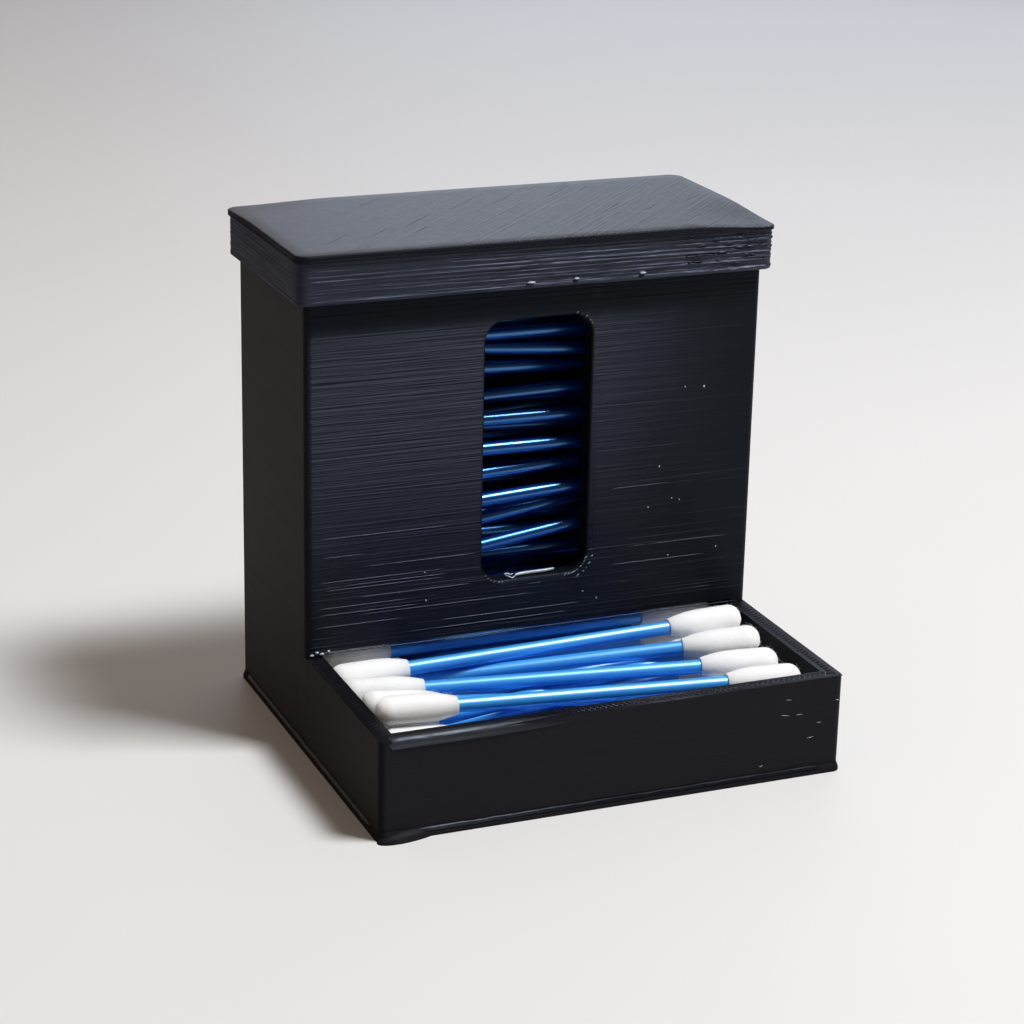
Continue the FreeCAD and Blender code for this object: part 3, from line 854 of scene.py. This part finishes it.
def make_cap_marks(material, pale_material):
    """Marks on the cap's front: the ends of its diagonal lines along the top edge,
    torn bits at the right, and three pale blobs where the nozzle paused."""
    draw = random.Random(31)
    shape = bmesh.new()
    front = CAP_LOW.y
    for number in range(58):
        x = (-26.5 + 1.2 * number) * MM
        size = draw.uniform(0.42, 0.62) * smooth_step(-30, -4, x / MM) + 0.12
        sag = cap_sag(x / MM, front / MM)
        add_blob(shape, Vector((x, front + 0.42 * MM, CAP_HIGH.z - (0.10 + sag) * MM)),
                 (size * MM, 0.7 * MM, 0.34 * MM))
    for number in range(30):
        x = draw.uniform(26, 41.5)
        middle = draw.choice(RIDGES)[0] + draw.uniform(-0.25, 0.25)
        add_blob(shape, Vector((x * MM, front + (PLATE_FLARE / MM + draw.uniform(-0.16, 0.02)) * MM,
                                CAP_LOW.z + middle * MM)),
                 (draw.uniform(0.6, 2.6) * MM, 0.5 * MM, draw.uniform(0.16, 0.26) * MM))
    mesh_piece("cap_torn_bits", shape, [material], "lid")

    shape = bmesh.new()
    for middle, height, half_width, proud in BLOBS:
        add_blob(shape, Vector((middle * MM, front + 0.1 * MM, CAP_LOW.z + height * MM)),
                 (1.7 * half_width * MM, 0.7 * MM, 0.36 * MM))
    mesh_piece("cap_pale_blobs", shape, [pale_material], "lid")


def make_specks(material):
    """Specks and short scuffs of plastic on the front walls."""
    shape = bmesh.new()
    # places on the hopper's front: from the middle, above the tray's rim, and size
    on_hopper = [
        (31.7, 41.8, 0.40), (28.0, 42.1, 0.26), (23.6, 27.8, 0.30), (26.3, 21.6, 0.24),
        (27.8, 21.2, 0.22), (21.7, 20.4, 0.26), (35.5, 11.4, 0.26), (26.0, 10.9, 0.24),
        (9.5, 6.0, 0.24), (12.2, 4.4, 0.26), (-20.5, 13.2, 0.26), (-20.2, 8.0, 0.30),
    ]
    for x, above, size in on_hopper:
        place = Vector((x * MM, HOPPER_FRONT, TRAY_RIM + above * MM))
        add_blob(shape, place, (size * MM, 0.3 * MM, 1.2 * size * MM))
    # a lump where the hopper's front meets the tray's left rim
    for x, above, size in (
        (-41.0, 0.5, 0.8), (-40.1, 0.9, 0.7), (-39.2, 0.6, 0.9), (-38.0, 0.9, 0.6),
    ):
        place = Vector((x * MM, HOPPER_FRONT - 0.1 * MM, TRAY_RIM + above * MM))
        add_blob(shape, place, (size * MM, 0.5 * MM, 0.45 * MM))
    mesh_piece("plastic_specks", shape, [material], "housing")


def make_scuffs(material):
    """Pale scuffs on the right end of the tray's front."""
    draw = random.Random(11)
    runs = []
    for x, z in (
        (31.0, 14.6), (30.2, 11.9), (33.2, 11.6), (37.2, 9.6), (35.4, 6.9), (40.6, 13.4),
        (26.5, 2.9),
    ):
        length = draw.uniform(0.7, 1.9)
        slant = draw.uniform(-0.6, 0.3)
        runs.append([
            Vector(((x + length * t) * MM, TRAY_FRONT + 0.02 * MM, (z + slant * length * t) * MM))
            for t in (0.0, 0.4, 1.0)
        ])
    mesh_piece("tray_front_scuffs", swept_beads(runs, 0.12 * MM), [material],
               "housing")


def make_fibres(name, node, material, seed):
    """Loose cotton fibres that stand off the tips of a node."""
    draw = random.Random(seed)
    mesh = node.data
    mesh.calc_loop_triangles()
    triangles = list(mesh.loop_triangles)
    picked = draw.choices(triangles, weights=[t.area for t in triangles],
                          k=FIBRES_PER_SWAB)
    runs = []
    for triangle in picked:
        a, b, c = (mesh.vertices[i].co for i in triangle.vertices)
        u, v = draw.random(), draw.random()
        if u + v > 1:
            u, v = 1 - u, 1 - v
        root = a + (b - a) * u + (c - a) * v
        lean = Vector((draw.uniform(-1, 1), draw.uniform(-1, 1), draw.uniform(-1, 1)))
        along = lean - triangle.normal * lean.dot(triangle.normal)
        length = draw.uniform(0.35, 1.0) * MM
        rise = draw.uniform(0.1, 0.5)
        curl = draw.uniform(-0.5, 0.4)
        tangent = along.normalized()
        runs.append([
            root + tangent * length * t + triangle.normal * length * rise * t * (1 + curl * t)
            for t in (0.0, 0.5, 1.0)
        ])
    mesh_piece(name, swept_beads(runs, 0.03 * MM), [material], "housing")


# ------------------------------------------------------------------ the set


def make_table(material):
    """Plain table top, large enough to fill the view."""
    shape = bmesh.new()
    bmesh.ops.create_grid(shape, x_segments=1, y_segments=1, size=4.0)
    mesh = bpy.data.meshes.new("table_top")
    shape.to_mesh(mesh)
    shape.free()
    table = bpy.data.objects.new("table_top", mesh)
    bpy.context.scene.collection.objects.link(table)
    dress(table, material)


def area_lamp(name, towards, size, radiance, colour):
    """Rectangular lamp that faces the object from a direction, and isn't seen itself."""
    target = Vector((0, 0, 40 * MM))
    distance = 1.0
    light = bpy.data.lights.new(name, "AREA")
    light.shape = "RECTANGLE"
    light.size, light.size_y = size
    light.energy = radiance * math.pi * size[0] * size[1]
    light.color = linear(colour)[:3]
    lamp = bpy.data.objects.new(name, light)
    bpy.context.scene.collection.objects.link(lamp)
    direction = Vector(towards).normalized()
    lamp.location = target + direction * distance
    lamp.rotation_euler = direction.to_track_quat("Z", "Y").to_euler()
    lamp.visible_camera = False


def make_camera():
    """Camera at the viewing angle: to the left of the front and a little above."""
    azimuth, elevation, roll = (math.radians(a) for a in (-22.71, 19.16, 1.256))
    place = Vector((-176.69, -411.70, 195.09)) * MM
    forward = Vector((
        -math.sin(azimuth) * math.cos(elevation),
        math.cos(azimuth) * math.cos(elevation),
        -math.sin(elevation),
    ))
    right = forward.cross(UP).normalized()
    over = right.cross(forward)
    turned_right = right * math.cos(roll) + over * math.sin(roll)
    turned_over = over * math.cos(roll) - right * math.sin(roll)
    data = bpy.data.cameras.new("camera")
    data.lens = 95.65
    data.sensor_width = 36
    camera = bpy.data.objects.new("camera", data)
    bpy.context.scene.collection.objects.link(camera)
    turn = Matrix((turned_right, turned_over, -forward)).transposed()
    camera.matrix_world = Matrix.Translation(place) @ turn.to_4x4()
    bpy.context.scene.camera = camera


def make_world():
    """Soft light from all round, dimmer from the front than from behind."""
    world = bpy.data.worlds.new("studio")
    world.use_nodes = True
    tree = world.node_tree
    tree.nodes.clear()
    direction = add_node(tree, "ShaderNodeTexCoord")
    parts = add_node(tree, "ShaderNodeSeparateXYZ", links={0: direction.outputs["Generated"]})
    strength = map_range(tree, parts.outputs["Y"], (-0.7, 0.7), (0.12, 0.36), smooth=True)
    light = add_node(tree, "ShaderNodeBackground", {"Color": linear("ffe9d4")},
                     {"Strength": strength})
    add_node(tree, "ShaderNodeOutputWorld", links={"Surface": light.outputs[0]})
    bpy.context.scene.world = world


# ----------------------------------------------------------------- assembly

layered_pla = printed_layers()
coarse_pla = coarse_layers()
diagonal_pla = diagonal_lines()
tray_stems = polypropylene(
    "azure_polypropylene", "1096ff", "48b8ff",
    band_roughness=0.4, skin=1.0, skin_roughness=0.39, glow=0.6)
# the hopper's stems are a darker copy of the same plastic: a painted shade for the dim inside of
# the hopper
stems_in_painted_shade = polypropylene(
    "azure_polypropylene_painted_shade", "021050", "031e6c",
    band_roughness=0.28, skin=0.42, skin_roughness=0.22, glow=0.0)
cotton = cotton_wool()
bead_pla = fresh_bead()
smeared_pla = smeared_edge()
pale_pla_and_painted_highlight = glossy_grey_pla("pale_pla_painted_highlight_and_scuffs", "707c8a", "ccd8e2")
painted_glint_pla = glossy_grey_pla("grey_pla_painted_glints", "343c44", "8c98a4")

for name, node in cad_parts.items():
    if name == "housing":
        dress(node, layered_pla)
    elif name == "lid":
        dress(node, coarse_pla)
    elif name.endswith("tips"):
        dress(node, cotton)
    # hopper swabs above the throat get the darker stems, a painted shade
    elif name.startswith("hopper") and int(name.split("_")[2]) > THROAT_GROUPS:
        dress(node, stems_in_painted_shade)
    else:
        dress(node, tray_stems)

make_cap(coarse_pla, diagonal_pla)
make_rim(bead_pla)
make_smeared_edges(smeared_pla)
make_window_marks(painted_glint_pla)
make_sill_strand(pale_pla_and_painted_highlight, bead_pla)
make_proud_layers(bead_pla)
make_cap_marks(bead_pla, pale_pla_and_painted_highlight)
make_specks(pale_pla_and_painted_highlight)
make_scuffs(pale_pla_and_painted_highlight)
for number, name in enumerate(sorted(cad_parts)):
    if name.startswith("top_swab") and name.endswith("tips"):
        make_fibres(name.replace("tips", "fibres"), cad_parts[name], cotton, number)
make_table(table_paint())
area_lamp("key_lamp", (0.34, -0.26, 0.90), (0.267, 0.267), 54.5, "fbfdff")
area_lamp("rear_panel", (0.54, 0.84, 0.22), (0.66, 0.28), 1.7, "c8e0ff")
area_lamp("rear_panel_above", (0.27, 0.96, 0.46), (0.35, 0.25), 1.0, "d8e4ff")
make_world()
make_camera()
bpy.context.scene.view_settings.view_transform = "Standard"
